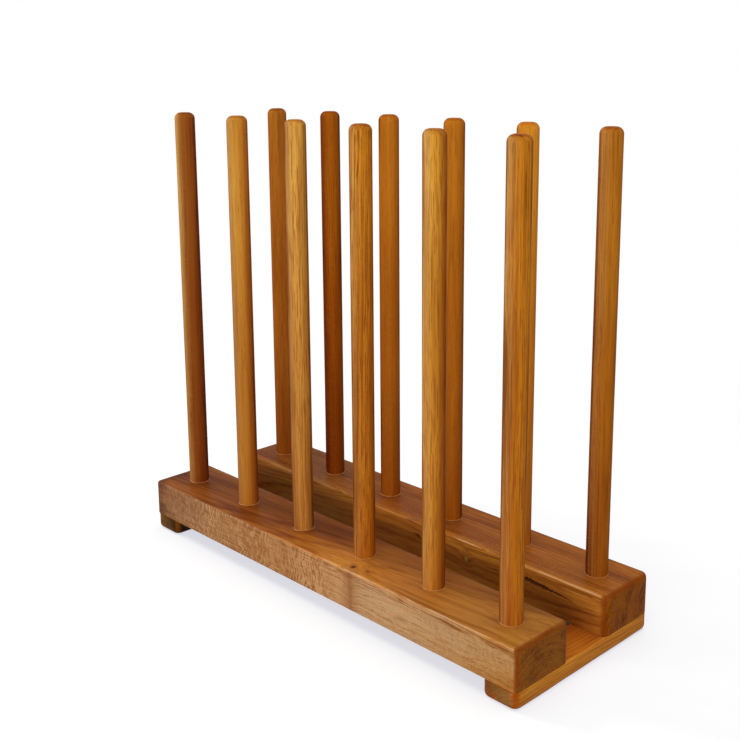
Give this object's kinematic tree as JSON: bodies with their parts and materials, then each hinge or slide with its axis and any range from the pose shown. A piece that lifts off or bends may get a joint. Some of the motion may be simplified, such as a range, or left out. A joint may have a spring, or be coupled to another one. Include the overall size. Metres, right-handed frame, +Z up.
{
  "type": "boot rack",
  "caption": "Free-standing oak boot rack with rows of tall upright dowels on parallel rails, which cross battens join underneath; boots hang upside down over the dowels.",
  "frame": {"origin": "on the floor, under the middle of the rack's box", "axes": "+X along the rails to the right end, +Y from the front row of dowels to the back row, +Z up"},
  "size_m": [0.62, 0.228, 0.551],
  "materials": {
    "rail_oak": "oiled satin oak",
    "batten_oak": "oiled satin oak",
    "dowel_oak": "oiled satin oak dowel",
    "screw_steel": "yellow zinc plated steel"
  },
  "bodies": {
    "root": {"left_batten": "batten_oak", "right_batten": "batten_oak", "front_rail": "rail_oak", "front_dowel_1": "dowel_oak", "front_dowel_2": "dowel_oak", "front_dowel_3": "dowel_oak", "front_dowel_4": "dowel_oak", "front_dowel_5": "dowel_oak", "front_dowel_6": "dowel_oak", "front_left_screws": "screw_steel", "front_right_screws": "screw_steel", "back_rail": "rail_oak", "back_dowel_1": "dowel_oak", "back_dowel_2": "dowel_oak", "back_dowel_3": "dowel_oak", "back_dowel_4": "dowel_oak", "back_dowel_5": "dowel_oak", "back_dowel_6": "dowel_oak", "back_left_screws": "screw_steel", "back_right_screws": "screw_steel"}
  },
  "joints": []
}
